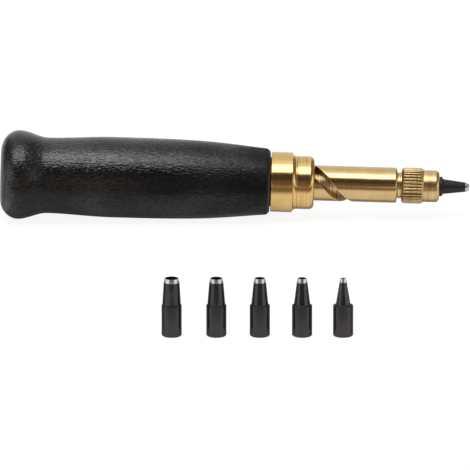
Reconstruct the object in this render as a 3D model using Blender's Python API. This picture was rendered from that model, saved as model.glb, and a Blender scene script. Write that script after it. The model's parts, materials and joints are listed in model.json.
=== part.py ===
"""Spiral-drive leather punch with one bit in its chuck and five spare bits.

The tool is turned about its own axis: local +X runs from the butt of the
handle to the cutting tip. It lies on its side, resting on the flare and the
belly of the handle, and the spare bits stand in a row in front of it.
"""
import math

import bmesh
import bpy
from mathutils import Vector

MM = 0.001

# Facets round each kind of piece
HANDLE_SIDES = 48
METAL_SIDES = 32
INNER_SIDES = 24
BIT_SIDES = 24
SMALL_SIDES = 12

# Steps along each kind of curve
BUTT_STEPS = 6
BODY_STEPS = 5
CORNER_STEPS = 3
NOSE_STEPS = 4
BALL_STEPS = 7

# Clearances
SEAT_GAP = 0.3 * MM
RUN_GAP = 0.2 * MM

# Handle: stations along the axis and radii
BUTT_FLAT_R = 6.8 * MM
FLARE_X = 5.4 * MM
FLARE_R = 13.1 * MM
WAIST_X = 14.0 * MM
WAIST_R = 11.15 * MM
BELLY_X = 33.0 * MM
BELLY_R = 11.87 * MM
SHOULDER_X = 59.9 * MM
SHOULDER_R = 11.42 * MM
FRONT_R = 9.76 * MM
HANDLE_LENGTH = 79.3 * MM
HANDLE_CHAMFER = 0.85 * MM
HANDLE_CHAMFER_LENGTH = 0.9 * MM

# Ferrule and guide bush
FERRULE_R = 8.82 * MM
FERRULE_LENGTH = 7.45 * MM
FERRULE_COVE = 1.3 * MM
STEM_R = 7.3 * MM
STEM_LENGTH = 9.8 * MM
BUSH_R = 7.78 * MM
BUSH_LENGTH = 5.1 * MM
BUSH_ROUND = 1.5 * MM
BUSH_SHANK_R = 6.25 * MM
BUSH_SHANK_LENGTH = 10.0 * MM

# Spiral shaft and its drive
SHAFT_R = 5.19 * MM
SHAFT_SHOW = 24.35 * MM
SHAFT_CHAMFER = 0.6 * MM
SHAFT_TAIL = 7.0 * MM
LEAD = 25.5 * MM
GROOVE_WIDTH = 3.7 * MM
GROOVE_DEPTH = 2.1 * MM
GROOVE_RUNOUT = 1.8 * MM
GROOVE_FACES_FRONT = 4.5 * MM
GROOVE_END_ROOM = 1.0 * MM
GROOVE_STEP = 1.0 * MM
# One side of the groove, as shares of its half width and of its depth
GROOVE_WALL = [(-1.0, 0.0), (-0.94, 0.75), (-0.84, 0.95), (-0.5, 1.0)]
PIN_R = 1.1 * MM
PIN_BACK = 9.9 * MM
PLUNGE = 23.4 * MM
NECK_R = 3.88 * MM
RELIEF_R = 2.2 * MM
RELIEF_DEPTH = 12.0 * MM

# Return mechanism inside the handle
RING_THICK = 1.2 * MM
RING_R = 5.7 * MM
RING_OPEN = 44.0
RING_SEAT_DEPTH = 1.0 * MM
BALL_R = 2.2 * MM
BALL_SUNK = 1.1 * MM
CUP_LENGTH = 7.0 * MM
SPIGOT_R = 2.9 * MM
SPIGOT_LENGTH = 5.0 * MM
TUBE_R = 6.6 * MM
TUBE_WALL = 0.6 * MM
SEAT_THICK = 3.0 * MM
BORE_BOTTOM = 13.0 * MM
COIL_R = 4.4 * MM
WIRE_R = 0.45 * MM
COIL_TURNS = 14
COIL_POINTS = 9

# Chuck
NUT_OFFSET = 1.3 * MM
NUT_LENGTH = 11.15 * MM
KNURL_R = 5.22 * MM
KNURL_DEPTH = 0.28 * MM
KNURL_RIDGES = 32
KNURL_LENGTH = 5.25 * MM
KNURL_CHAMFER = 0.6 * MM
BARREL_R = 4.67 * MM
BARREL_ROUND = 1.2 * MM
NUT_MOUTH_CONE = 1.4 * MM
COLLET_SLOT = 0.5 * MM
COLLET_ROOT = 2.2 * MM

# Bits: the cut sizes are standard hole sizes and don't grow with the tool
BIT_SHANK_R = 2.9 * MM
BIT_SHANK_LENGTH = 9.0 * MM
BIT_LENGTH = 16.95 * MM
BIT_EDGE = 0.3 * MM
BIT_SHOULDER = 0.35 * MM
BIT_LIP = 1.1 * MM
BIT_LIP_FLARE = 0.28 * MM
BIT_EDGE_WALL = 0.1 * MM
BIT_RELIEF_R = 2.1 * MM
BIT_ROOT_R = 1.78 * MM
BIT_ROOT_SHARE = 0.22
BIT_PROUD = 0.8 * MM
FITTED_CUT = 2.0 * MM
SPARE_CUTS = (4.0 * MM, 3.5 * MM, 3.0 * MM, 2.5 * MM, 1.5 * MM)
SPARE_FIRST_X = 50.9 * MM
SPARE_PITCH = 12.75 * MM
SPARE_CLOSING = 0.35 * MM
SPARE_ROW_GAP = 128.0 * MM

# Stations worked out from the sizes above
FRONT_X = HANDLE_LENGTH - HANDLE_CHAMFER_LENGTH
FERRULE_X = HANDLE_LENGTH + SEAT_GAP
STEM_X = FERRULE_X - STEM_LENGTH
BUSH_X = FERRULE_X + FERRULE_LENGTH + SEAT_GAP / 2
BUSH_FACE_X = BUSH_X + BUSH_LENGTH
BUSH_REAR_X = BUSH_X - BUSH_SHANK_LENGTH
STEM_BORE_R = BUSH_SHANK_R + SEAT_GAP
BUSH_BORE_R = SHAFT_R + RUN_GAP
SHAFT_FRONT_X = BUSH_FACE_X + SHAFT_SHOW
PIN_X = BUSH_FACE_X - PIN_BACK
GROOVE_FRONT_X = PIN_X + PLUNGE + PIN_R + GROOVE_END_ROOM
GROOVE_REAR_X = PIN_X - PIN_R - GROOVE_RUNOUT
RING_X = BUSH_REAR_X - SEAT_GAP - RING_THICK
TAIL_X = BUSH_REAR_X - SHAFT_TAIL
BALL_X = TAIL_X + BALL_SUNK - BALL_R
CUP_FRONT_X = TAIL_X - SEAT_GAP
CUP_X = CUP_FRONT_X - CUP_LENGTH
CUP_R = TUBE_R - TUBE_WALL - SEAT_GAP
TUBE_X = BORE_BOTTOM + SEAT_GAP + SEAT_THICK + SEAT_GAP
TUBE_END_X = STEM_X - SEAT_GAP
SEAT_FACE_X = BORE_BOTTOM + SEAT_GAP + SEAT_THICK
COIL_START_X = SEAT_FACE_X + RUN_GAP + WIRE_R
COIL_END_X = CUP_X - RUN_GAP - WIRE_R
NUT_X = SHAFT_FRONT_X + NUT_OFFSET
NUT_FACE_X = NUT_X + NUT_LENGTH
NUT_BORE_R = NECK_R + RUN_GAP
NUT_MOUTH_R = BIT_SHANK_R + RUN_GAP
BIT_SEAT_X = NUT_FACE_X + BIT_PROUD - BIT_SHANK_LENGTH
NECK_END_X = BIT_SEAT_X - SEAT_GAP
COLLET_X = NECK_END_X + SEAT_GAP
NUT_CONE_X = NUT_FACE_X - 2 * NUT_MOUTH_CONE
NUT_CONE_END_X = NUT_FACE_X - NUT_MOUTH_CONE / 2
COLLET_FRONT_X = (NUT_CONE_X + NUT_CONE_END_X) / 2
COLLET_R = NUT_BORE_R - RUN_GAP
COLLET_BORE_R = BIT_SHANK_R + RUN_GAP


def material(name, colour, metallic, roughness):
    """A plain material with one colour."""
    made = bpy.data.materials.new(name)
    made.use_nodes = True
    shader = made.node_tree.nodes["Principled BSDF"]
    shader.inputs["Base Color"].default_value = (*colour, 1.0)
    shader.inputs["Metallic"].default_value = metallic
    shader.inputs["Roughness"].default_value = roughness
    return made


def empty(name, parent=None):
    """An empty that carries a group of pieces."""
    made = bpy.data.objects.new(name, None)
    made.parent = parent
    bpy.context.collection.objects.link(made)
    return made


def finished(name, bm, look, parent):
    """Turn a bmesh into a named, smooth-shaded object."""
    bmesh.ops.remove_doubles(bm, verts=bm.verts, dist=1e-7)
    bmesh.ops.recalc_face_normals(bm, faces=bm.faces)
    mesh = bpy.data.meshes.new(name)
    bm.to_mesh(mesh)
    bm.free()
    mesh.shade_smooth()
    mesh.set_sharp_from_angle(angle=math.radians(30))
    mesh.materials.append(look)
    made = bpy.data.objects.new(name, mesh)
    made.parent = parent
    bpy.context.collection.objects.link(made)
    return made


def turned(name, outline, sides, look, parent, closed=False, sweep=2 * math.pi, axis="X"):
    """Spin an outline of (station, radius) points about the X or Z axis."""
    bm = bmesh.new()
    turn = math.pi / sides
    points = []
    for station, radius in outline:
        across = radius * math.sin(turn)
        up = radius * math.cos(turn)
        spot = (station, across, up) if axis == "X" else (across, up, station)
        points.append(bm.verts.new(spot))
    edges = [bm.edges.new(pair) for pair in zip(points, points[1:])]
    if closed:
        edges.append(bm.edges.new((points[-1], points[0])))
    whole = sweep > 1.999 * math.pi
    direction = (1, 0, 0) if axis == "X" else (0, 0, 1)
    if not whole:
        edges.append(bm.faces.new(points))
    bmesh.ops.spin(
        bm, geom=points + edges, cent=(0, 0, 0), axis=direction,
        angle=sweep, steps=sides, use_merge=whole,
    )
    return finished(name, bm, look, parent)


def lofted(name, rings, look, parent, closed=False):
    """Join rings of equally many points into one skin, capped or closed on itself."""
    bm = bmesh.new()
    loops = [[bm.verts.new(spot) for spot in ring] for ring in rings]
    pairs = list(zip(loops, loops[1:]))
    if closed:
        pairs.append((loops[-1], loops[0]))
    else:
        bm.faces.new(loops[0])
        bm.faces.new(loops[-1])
    for near, far in pairs:
        for k in range(len(near)):
            j = (k + 1) % len(near)
            bm.faces.new((near[k], near[j], far[j], far[k]))
    return finished(name, bm, look, parent)


def cut(target, cutter):
    """Subtract a hidden cutter from a piece."""
    cutter.hide_render = True
    cutter.display_type = "WIRE"
    step = target.modifiers.new("cut", "BOOLEAN")
    step.operation = "DIFFERENCE"
    step.object = cutter


def box(name, size, look, parent):
    """A box centred on its own origin, used as a cutter."""
    bm = bmesh.new()
    bmesh.ops.create_cube(bm, size=1.0)
    bmesh.ops.scale(bm, vec=Vector(size), verts=bm.verts)
    return finished(name, bm, look, parent)


def smooth_run(points, steps):
    """Stations and radii along a smooth curve, level at its first point."""
    slopes = [0.0]
    for before, here, after in zip(points, points[1:], points[2:]):
        rise_in = (here[1] - before[1]) / (here[0] - before[0])
        rise_out = (after[1] - here[1]) / (after[0] - here[0])
        slopes.append(0.0 if rise_in * rise_out < 0 else (rise_in + rise_out) / 2)
    slopes.append((points[-1][1] - points[-2][1]) / (points[-1][0] - points[-2][0]))
    run = []
    for i, (start, end) in enumerate(zip(points, points[1:])):
        span = end[0] - start[0]
        for step in range(steps):
            t = step / steps
            rise = start[1] * (2 * t**3 - 3 * t**2 + 1) + end[1] * (3 * t**2 - 2 * t**3)
            lean = slopes[i] * (t**3 - 2 * t**2 + t) + slopes[i + 1] * (t**3 - t**2)
            run.append((start[0] + t * span, rise + lean * span))
    run.append(points[-1])
    return run


def rounded(centre, radii, start, end, steps):
    """Points on an elliptical corner between two angles in degrees."""
    arc = []
    for step in range(steps + 1):
        angle = math.radians(start + (end - start) * step / steps)
        x = centre[0] + radii[0] * math.cos(angle)
        arc.append((x, centre[1] + radii[1] * math.sin(angle)))
    return arc


def handle_outline():
    """Outer side of the handle, from the butt's flat to the front edge."""
    butt = rounded((FLARE_X, BUTT_FLAT_R), (FLARE_X, FLARE_R - BUTT_FLAT_R), 180, 90, BUTT_STEPS)
    body = smooth_run(
        [
            (FLARE_X, FLARE_R),
            (WAIST_X, WAIST_R),
            (BELLY_X, BELLY_R),
            (SHOULDER_X, SHOULDER_R),
            (FRONT_X, FRONT_R),
        ],
        BODY_STEPS,
    )
    return butt + body[1:] + [(HANDLE_LENGTH, FRONT_R - HANDLE_CHAMFER)]


def groove_angle(x):
    """Angle of the groove's middle about +X, from the top towards the front."""
    return math.pi / 2 + 2 * math.pi * (x - BUSH_FACE_X - GROOVE_FACES_FRONT) / LEAD


def around(x, radius, angle):
    """A point at a station, a radius and an angle from the top towards the front."""
    return (x, -radius * math.sin(angle), radius * math.cos(angle))


def make_handle(look, parent):
    """Turned wooden handle with a stepped blind bore."""
    bore = [
        (HANDLE_LENGTH, STEM_R + SEAT_GAP),
        (STEM_X - SEAT_GAP, STEM_R + SEAT_GAP),
        (STEM_X - SEAT_GAP, TUBE_R + SEAT_GAP),
        (BORE_BOTTOM, TUBE_R + SEAT_GAP),
        (BORE_BOTTOM, 0.0),
    ]
    turned("handle", [(0.0, 0.0)] + handle_outline() + bore, HANDLE_SIDES, look, parent)


def make_ferrule(look, parent):
    """Brass collar with a hollow cove at its front and a stem inside the wood."""
    front = FERRULE_X + FERRULE_LENGTH
    drop = FERRULE_R - BUSH_R
    cove = rounded((front, FERRULE_R), (FERRULE_COVE, drop), 180, 270, CORNER_STEPS)
    outline = [(STEM_X, STEM_BORE_R), (STEM_X, STEM_R), (FERRULE_X, STEM_R), (FERRULE_X, FERRULE_R)]
    outline += cove + [(front, STEM_BORE_R)]
    turned("ferrule", outline, METAL_SIDES, look, parent, closed=True)


def make_guide_bush(look, parent):
    """Brass bush that carries the shaft, with a hole for the drive pin."""
    centre = (BUSH_FACE_X - BUSH_ROUND, BUSH_R - BUSH_ROUND)
    nose = rounded(centre, (BUSH_ROUND, BUSH_ROUND), 90, 0, NOSE_STEPS)
    outline = [
        (BUSH_REAR_X, BUSH_BORE_R),
        (BUSH_REAR_X, BUSH_SHANK_R),
        (BUSH_X, BUSH_SHANK_R),
        (BUSH_X, BUSH_R),
    ]
    outline += nose + [(BUSH_FACE_X, BUSH_BORE_R)]
    bush = turned("guide_bush", outline, METAL_SIDES, look, parent, closed=True)
    hole_r = PIN_R + RUN_GAP
    hole = [(SHAFT_R, 0.0), (SHAFT_R, hole_r), (STEM_R, hole_r), (STEM_R, 0.0)]
    cutter = turned("pin_hole", hole, INNER_SIDES, look, parent)
    set_radial(cutter)
    cut(bush, cutter)


def set_radial(piece):
    """Stand a piece made along X on the pin's radius, where the groove passes."""
    angle = groove_angle(PIN_X)
    outward = Vector(around(0.0, 1.0, angle))
    piece.location = (PIN_X, 0.0, 0.0)
    piece.rotation_mode = "QUATERNION"
    piece.rotation_quaternion = Vector((1.0, 0.0, 0.0)).rotation_difference(outward)


def make_drive_pin(look, parent):
    """Round-ended pin that stands in the groove."""
    tip = SHAFT_R - GROOVE_DEPTH + SEAT_GAP
    end = rounded((tip + PIN_R, 0.0), (PIN_R, PIN_R), 180, 90, NOSE_STEPS)
    end[0] = (tip, 0.0)
    outer = STEM_BORE_R - RUN_GAP
    pin = turned("drive_pin", end + [(outer, PIN_R), (outer, 0.0)], SMALL_SIDES, look, parent)
    set_radial(pin)


def groove_share(x):
    """How much of the full depth the groove has at a station: it runs out round at both ends."""
    inside = min(x - GROOVE_REAR_X, GROOVE_FRONT_X - x)
    if inside <= 0:
        return 0.0
    part = min(inside / GROOVE_RUNOUT, 1.0)
    return math.sqrt(1.0 - (1.0 - part) ** 2)


def shaft_ring(x, radius, grooved):
    """One ring of the shaft, turned with the helix so that the groove keeps its points."""
    half = math.pi * GROOVE_WIDTH / LEAD
    depth = GROOVE_DEPTH * groove_share(x) if grooved else 0.0
    wall = GROOVE_WALL + [(-across, sunk) for across, sunk in reversed(GROOVE_WALL)]
    ring = [(half * across, radius - depth * sunk) for across, sunk in wall]
    land = 2 * math.pi - 2 * half
    steps = METAL_SIDES - len(wall)
    ring += [(half + land * k / steps, radius) for k in range(1, steps)]
    middle = groove_angle(min(max(x, GROOVE_REAR_X), GROOVE_FRONT_X))
    return [around(x, r, middle + angle) for angle, r in ring]


def make_spiral_shaft(look, parent):
    """Spindle with a helical groove, a ring seat, a ball seat and a neck for the nut."""
    seat_r = BALL_R + SEAT_GAP
    seat_x = TAIL_X + BALL_SUNK + SEAT_GAP
    ring_floor = SHAFT_R - RING_SEAT_DEPTH
    slot = RUN_GAP
    rings = [(seat_x, seat_r), (TAIL_X, seat_r), (TAIL_X, SHAFT_R)]
    rings += [(RING_X - slot, SHAFT_R), (RING_X - slot, ring_floor)]
    rings += [(RING_X + RING_THICK + slot, ring_floor), (RING_X + RING_THICK + slot, SHAFT_R)]
    skin = [shaft_ring(x, r, False) for x, r in rings]
    span = GROOVE_FRONT_X - GROOVE_REAR_X
    steps = math.ceil(span / GROOVE_STEP)
    skin += [shaft_ring(GROOVE_REAR_X + span * k / steps, SHAFT_R, True) for k in range(steps + 1)]
    front = [(SHAFT_FRONT_X - SHAFT_CHAMFER, SHAFT_R), (SHAFT_FRONT_X, SHAFT_R - SHAFT_CHAMFER)]
    front += [(SHAFT_FRONT_X, NECK_R), (NECK_END_X, NECK_R), (NECK_END_X, RELIEF_R)]
    front += [(NECK_END_X - RELIEF_DEPTH, RELIEF_R)]
    skin += [shaft_ring(x, r, False) for x, r in front]
    lofted("spiral_shaft", skin, look, parent)


def make_stop_ring(look, parent):
    """Open snap ring in the shaft's rear seat."""
    inner = SHAFT_R - RING_SEAT_DEPTH + RUN_GAP
    outline = [(RING_X, inner), (RING_X, RING_R)]
    outline += [(RING_X + RING_THICK, RING_R), (RING_X + RING_THICK, inner)]
    sweep = math.radians(360 - RING_OPEN)
    turned("stop_ring", outline, INNER_SIDES, look, parent, closed=True, sweep=sweep)


def make_thrust_ball(look, parent):
    """Steel ball between the shaft and the spring cup."""
    arc = rounded((BALL_X, 0.0), (BALL_R, BALL_R), 180, 0, BALL_STEPS)
    arc[0] = (BALL_X - BALL_R, 0.0)
    arc[-1] = (BALL_X + BALL_R, 0.0)
    turned("thrust_ball", arc, SMALL_SIDES, look, parent)


def make_spring_cup(look, parent):
    """Follower with a seat for the ball and a spigot inside the spring."""
    well_r = BALL_R + SEAT_GAP
    well_x = BALL_X - BALL_R - SEAT_GAP
    outline = [(CUP_X - SPIGOT_LENGTH, 0.0), (CUP_X - SPIGOT_LENGTH, SPIGOT_R), (CUP_X, SPIGOT_R)]
    outline += [(CUP_X, CUP_R), (CUP_FRONT_X, CUP_R), (CUP_FRONT_X, well_r), (well_x, well_r), (well_x, 0.0)]
    turned("spring_cup", outline, INNER_SIDES, look, parent)


def make_guide_tube(look, parent):
    """Liner of the handle's bore."""
    inner = TUBE_R - TUBE_WALL
    outline = [(TUBE_X, inner), (TUBE_X, TUBE_R), (TUBE_END_X, TUBE_R), (TUBE_END_X, inner)]
    turned("guide_tube", outline, HANDLE_SIDES, look, parent, closed=True)


def make_spring_seat(look, parent):
    """Plug at the bottom of the bore, with a spigot for the spring."""
    rear = BORE_BOTTOM + SEAT_GAP
    end = SEAT_FACE_X + SPIGOT_LENGTH
    outline = [(rear, 0.0), (rear, TUBE_R), (SEAT_FACE_X, TUBE_R), (SEAT_FACE_X, SPIGOT_R)]
    outline += [(end, SPIGOT_R), (end, 0.0)]
    turned("spring_seat", outline, INNER_SIDES, look, parent)


def make_return_spring(look, parent):
    """Compression spring, one unbroken tube of wire."""
    count = COIL_TURNS * COIL_POINTS
    length = COIL_END_X - COIL_START_X
    pitch = length / COIL_TURNS
    points = []
    for k in range(count + 1):
        angle = 2 * math.pi * k / COIL_POINTS
        points.append(around(COIL_START_X + length * k / count, COIL_R, angle))
    skip = COIL_POINTS // 2
    nearest = min(
        (Vector(a) - Vector(b)).length for i, a in enumerate(points) for b in points[i + skip:]
    )
    print("spring: pitch %.2f mm, least gap %.2f mm" % (pitch / MM, (nearest - 2 * WIRE_R) / MM))
    curve = bpy.data.curves.new("return_spring", "CURVE")
    curve.dimensions = "3D"
    curve.bevel_depth = WIRE_R
    curve.bevel_resolution = 1
    curve.use_fill_caps = True
    spline = curve.splines.new("POLY")
    spline.points.add(count)
    for place, spot in zip(spline.points, points):
        place.co = (*spot, 1.0)
    curve.materials.append(look)
    made = bpy.data.objects.new("return_spring", curve)
    made.parent = parent
    bpy.context.collection.objects.link(made)


def make_chuck_nut(look, parent):
    """Nut with a straight knurl, a smooth barrel and a cone inside its mouth."""
    knurl_x = NUT_X + KNURL_CHAMFER
    knurl_end = knurl_x + KNURL_LENGTH
    low = KNURL_R - KNURL_DEPTH
    centre = (NUT_FACE_X - BARREL_ROUND, BARREL_R - BARREL_ROUND)
    nose = rounded(centre, (BARREL_ROUND, BARREL_ROUND), 90, 0, CORNER_STEPS)
    outline = [(NUT_X, NUT_BORE_R, 0.0), (NUT_X, KNURL_R - KNURL_CHAMFER, 0.0)]
    outline += [(knurl_x, low, KNURL_DEPTH), (knurl_end, low, KNURL_DEPTH)]
    outline += [(knurl_end + KNURL_CHAMFER, BARREL_R, 0.0)]
    outline += [(x, r, 0.0) for x, r in nose]
    outline += [(NUT_FACE_X, NUT_MOUTH_R, 0.0), (NUT_CONE_END_X, NUT_MOUTH_R, 0.0)]
    outline += [(NUT_CONE_X, NUT_BORE_R, 0.0)]
    points = 2 * KNURL_RIDGES
    rings = []
    for x, r, ridge in outline:
        ring = [around(x, r + ridge * (k % 2), 2 * math.pi * k / points) for k in range(points)]
        rings.append(ring)
    lofted("chuck_nut", rings, look, parent, closed=True)


def make_collet(look, parent):
    """Split sleeve that the nut closes on the bit's shank."""
    tip_r = (NUT_BORE_R + NUT_MOUTH_R) / 2 - RUN_GAP
    outline = [(COLLET_X, COLLET_BORE_R), (COLLET_X, COLLET_R)]
    outline += [(NUT_CONE_X, COLLET_R), (COLLET_FRONT_X, tip_r)]
    outline += [(COLLET_FRONT_X, COLLET_BORE_R)]
    collet = turned("collet", outline, INNER_SIDES, look, parent, closed=True)
    slot_x = COLLET_X + COLLET_ROOT
    length = COLLET_FRONT_X - slot_x
    for k in range(2):
        slot = box("collet_slot_%d" % k, (2 * length, 4 * COLLET_R, COLLET_SLOT), look, parent)
        slot.location = (slot_x + length, 0.0, 0.0)
        slot.rotation_euler = (math.pi * k / 2, 0.0, 0.0)
        cut(collet, slot)


def make_bit(name, cut_size, look, parent):
    """Hollow bit standing on its shank: round shank, shoulder, cone and ground lip."""
    cut_r = cut_size / 2
    root_r = BIT_ROOT_R + BIT_ROOT_SHARE * cut_size
    lip_r = cut_r + BIT_LIP_FLARE
    bore_r = cut_r - BIT_EDGE_WALL
    relief = max(BIT_RELIEF_R, bore_r)
    shoulder = BIT_SHANK_LENGTH
    outline = [
        (0.0, relief),
        (0.0, BIT_SHANK_R - BIT_EDGE),
        (BIT_EDGE, BIT_SHANK_R),
        (shoulder, BIT_SHANK_R),
        (shoulder + BIT_SHOULDER, root_r),
        (BIT_LENGTH - BIT_LIP, lip_r),
        (BIT_LENGTH, cut_r),
        (BIT_LENGTH, bore_r),
        (shoulder, bore_r),
        (shoulder - BIT_LIP, relief),
    ]
    return turned(name, outline, BIT_SIDES, look, parent, closed=True, axis="Z")


def resting_tilt():
    """Nose-down angle at which flare and belly both touch the table."""
    beyond = [(x, r) for x, r in handle_outline() if x > WAIST_X]
    return min(math.atan2(FLARE_R - r, x - FLARE_X) for x, r in beyond)


def centre_set(top):
    """Move the set so that the middle of its underside is the origin."""
    bpy.context.view_layer.update()
    solids = [o for o in bpy.data.objects if o.type != "EMPTY" and not o.hide_render]
    corners = []
    graph = bpy.context.evaluated_depsgraph_get()
    for solid in solids:
        shown = solid.evaluated_get(graph)
        mesh = shown.to_mesh()
        corners += [shown.matrix_world @ v.co for v in mesh.vertices]
        shown.to_mesh_clear()
    low = [min(c[k] for c in corners) for k in range(3)]
    high = [max(c[k] for c in corners) for k in range(3)]
    top.location = (-(low[0] + high[0]) / 2, -(low[1] + high[1]) / 2, -low[2])


for old in list(bpy.data.objects):
    bpy.data.objects.remove(old)

lacquer = material("black_lacquered_wood", (0.018, 0.018, 0.018), 0.0, 0.38)
brass = material("polished_brass", (0.78, 0.58, 0.30), 1.0, 0.18)
nut_brass = material("brushed_brass", (0.74, 0.55, 0.28), 1.0, 0.3)
black_steel = material("black_oxide_steel", (0.05, 0.05, 0.053), 0.6, 0.4)
steel = material("bright_steel", (0.6, 0.6, 0.6), 1.0, 0.3)

set_origin = empty("set_origin")
tool_axis = empty("tool_axis", set_origin)
tilt = resting_tilt()
flat = math.cos(math.pi / HANDLE_SIDES)
tool_axis.rotation_euler = (0.0, tilt, 0.0)
tool_axis.location = (0.0, 0.0, FLARE_R * flat * math.cos(tilt) + FLARE_X * math.sin(tilt))

make_handle(lacquer, tool_axis)
make_ferrule(brass, tool_axis)
make_guide_bush(brass, tool_axis)
make_drive_pin(steel, tool_axis)
make_spiral_shaft(brass, tool_axis)
make_stop_ring(steel, tool_axis)
make_thrust_ball(steel, tool_axis)
make_spring_cup(steel, tool_axis)
make_guide_tube(steel, tool_axis)
make_spring_seat(steel, tool_axis)
make_return_spring(steel, tool_axis)
make_chuck_nut(nut_brass, tool_axis)
make_collet(steel, tool_axis)

fitted = make_bit("fitted_bit", FITTED_CUT, black_steel, tool_axis)
fitted.location = (BIT_SEAT_X, 0.0, 0.0)
fitted.rotation_euler = (0.0, math.pi / 2, 0.0)

x = SPARE_FIRST_X
gap = SPARE_PITCH
for size in SPARE_CUTS:
    label = ("%.1f" % (size / MM)).replace(".", "_")
    spare = make_bit("spare_bit_" + label, size, black_steel, set_origin)
    spare.location = (x, -SPARE_ROW_GAP, 0.0)
    x += gap
    gap -= SPARE_CLOSING

centre_set(set_origin)
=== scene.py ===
"""Studio scene of a spiral-drive leather punch and its spare bits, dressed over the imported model."""
import json
import math

import bmesh
import bpy
from mathutils import Matrix, Vector


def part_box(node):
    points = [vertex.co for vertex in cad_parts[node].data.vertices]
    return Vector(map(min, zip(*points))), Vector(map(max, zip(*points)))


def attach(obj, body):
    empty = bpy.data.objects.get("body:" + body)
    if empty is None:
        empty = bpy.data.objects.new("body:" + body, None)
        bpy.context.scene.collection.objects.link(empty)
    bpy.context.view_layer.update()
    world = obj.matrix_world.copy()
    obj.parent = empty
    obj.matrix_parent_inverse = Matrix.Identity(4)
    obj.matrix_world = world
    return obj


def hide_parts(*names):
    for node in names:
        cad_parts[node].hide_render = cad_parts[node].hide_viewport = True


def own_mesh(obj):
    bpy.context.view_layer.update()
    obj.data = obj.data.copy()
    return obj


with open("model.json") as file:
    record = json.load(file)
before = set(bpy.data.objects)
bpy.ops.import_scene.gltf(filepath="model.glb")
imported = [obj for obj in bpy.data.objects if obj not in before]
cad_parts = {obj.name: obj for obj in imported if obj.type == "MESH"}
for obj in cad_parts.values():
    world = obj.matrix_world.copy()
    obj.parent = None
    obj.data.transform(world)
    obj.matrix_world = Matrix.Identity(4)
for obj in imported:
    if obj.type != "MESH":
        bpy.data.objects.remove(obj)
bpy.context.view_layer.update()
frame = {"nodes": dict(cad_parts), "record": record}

MM = 0.001

# Facets round each kind of piece
HANDLE_SIDES = 160
METAL_SIDES = 128
BIT_SIDES = 72
WIRE_SIDES = 10

# Steps along each kind of curve
BUTT_STEPS = 24
RUN_STEPS = 20
COVE_STEPS = 10
NOSE_STEPS = 12
SHOULDER_STEPS = 6
BARREL_STEPS = 10

# A corner that turns by more degrees than this is eased, by no more than this share of its sides
SHARP_CORNER = 25
EASE_SHARE = 0.4
EASE_STEPS = 3
# Faces that meet at fewer degrees than this are shaded as one
SMOOTH_ANGLE = 40
# A smaller radius than this counts as a point on the axis
ON_AXIS = 1e-9

# Clearances
SEAT_GAP = 0.3 * MM
RUN_GAP = 0.2 * MM
SEAM = 0.01 * MM
EDGE_EASE = 0.12 * MM

# The model's facets lie inside its round outline by these shares, and the pieces here keep to them
MODEL_HANDLE_SIDES = 48
MODEL_BIT_SIDES = 24
HANDLE_FLAT = math.cos(math.pi / MODEL_HANDLE_SIDES)
BIT_FLAT = math.cos(math.pi / MODEL_BIT_SIDES)

# Handle
BUTT_FLAT_R = 6.8 * MM
FLARE_X = 5.4 * MM
FLARE_R = 13.1 * MM
WAIST_X = 14.0 * MM
WAIST_R = 11.15 * MM
BELLY_X = 33.0 * MM
BELLY_R = 11.87 * MM
SHOULDER_X = 59.9 * MM
SHOULDER_R = 11.42 * MM
HANDLE_LENGTH = 79.3 * MM
HANDLE_CHAMFER = 0.85 * MM
HANDLE_CHAMFER_LENGTH = 0.9 * MM
FRONT_X = HANDLE_LENGTH - HANDLE_CHAMFER_LENGTH
FRONT_R = 9.76 * MM
BORE_BOTTOM = 13.0 * MM
TUBE_R = 6.6 * MM

# Ferrule and guide bush
FERRULE_R = 8.82 * MM
FERRULE_LENGTH = 7.45 * MM
FERRULE_COVE = 1.3 * MM
STEM_R = 7.3 * MM
STEM_LENGTH = 9.8 * MM
BUSH_R = 7.78 * MM
BUSH_LENGTH = 5.1 * MM
BUSH_ROUND = 1.5 * MM
BUSH_SHANK_R = 6.25 * MM
BUSH_SHANK_LENGTH = 10.0 * MM

# Spiral shaft
SHAFT_R = 5.19 * MM
SHAFT_SHOW = 24.35 * MM
SHAFT_CHAMFER = 0.6 * MM
SHAFT_TAIL = 7.0 * MM
LEAD = 25.5 * MM
GROOVE_WIDTH = 3.7 * MM
GROOVE_DEPTH = 2.1 * MM
GROOVE_RUNOUT = 1.8 * MM
GROOVE_END_ROOM = 1.0 * MM
GROOVE_STEP = 0.3 * MM
# The groove faces the front this far from the bush
GROOVE_FACES_FRONT = 4.5 * MM
# Below this share of its depth the groove takes rougher milled brass, darker as painted shade
GROOVE_SHADE = 0.1
# One side of the groove, as shares of its half width and of its depth
GROOVE_WALL = [(-1.16, 0.0), (-1.09, 0.012), (-1.03, 0.045), (-0.99, 0.11), (-0.965, 0.25)]
GROOVE_WALL += [(-0.955, 0.55), (-0.94, 0.82), (-0.9, 0.93), (-0.82, 0.99), (-0.6, 1.0), (-0.3, 1.0)]
PIN_R = 1.1 * MM
PIN_BACK = 9.9 * MM
PLUNGE = 23.4 * MM
NECK_R = 3.88 * MM
THREAD_PITCH = 0.75 * MM
THREAD_DEPTH = 0.24 * MM
THREAD_VEE = 0.2
THREAD_STEP = THREAD_PITCH / 20
RING_THICK = 1.2 * MM
RING_SEAT_DEPTH = 1.0 * MM
BALL_R = 2.2 * MM
BALL_SUNK = 1.1 * MM
RELIEF_R = 2.2 * MM
RELIEF_DEPTH = 12.0 * MM

# Spring
COIL_R = 4.4 * MM
WIRE_R = 0.45 * MM
COIL_TURNS = 14
COIL_POINTS = 24
CUP_LENGTH = 7.0 * MM
SEAT_THICK = 3.0 * MM

# Chuck nut
NUT_OFFSET = 1.3 * MM
NUT_LENGTH = 11.15 * MM
KNURL_R = 5.22 * MM
KNURL_DEPTH = 0.38 * MM
KNURL_RIDGES = 32
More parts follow.
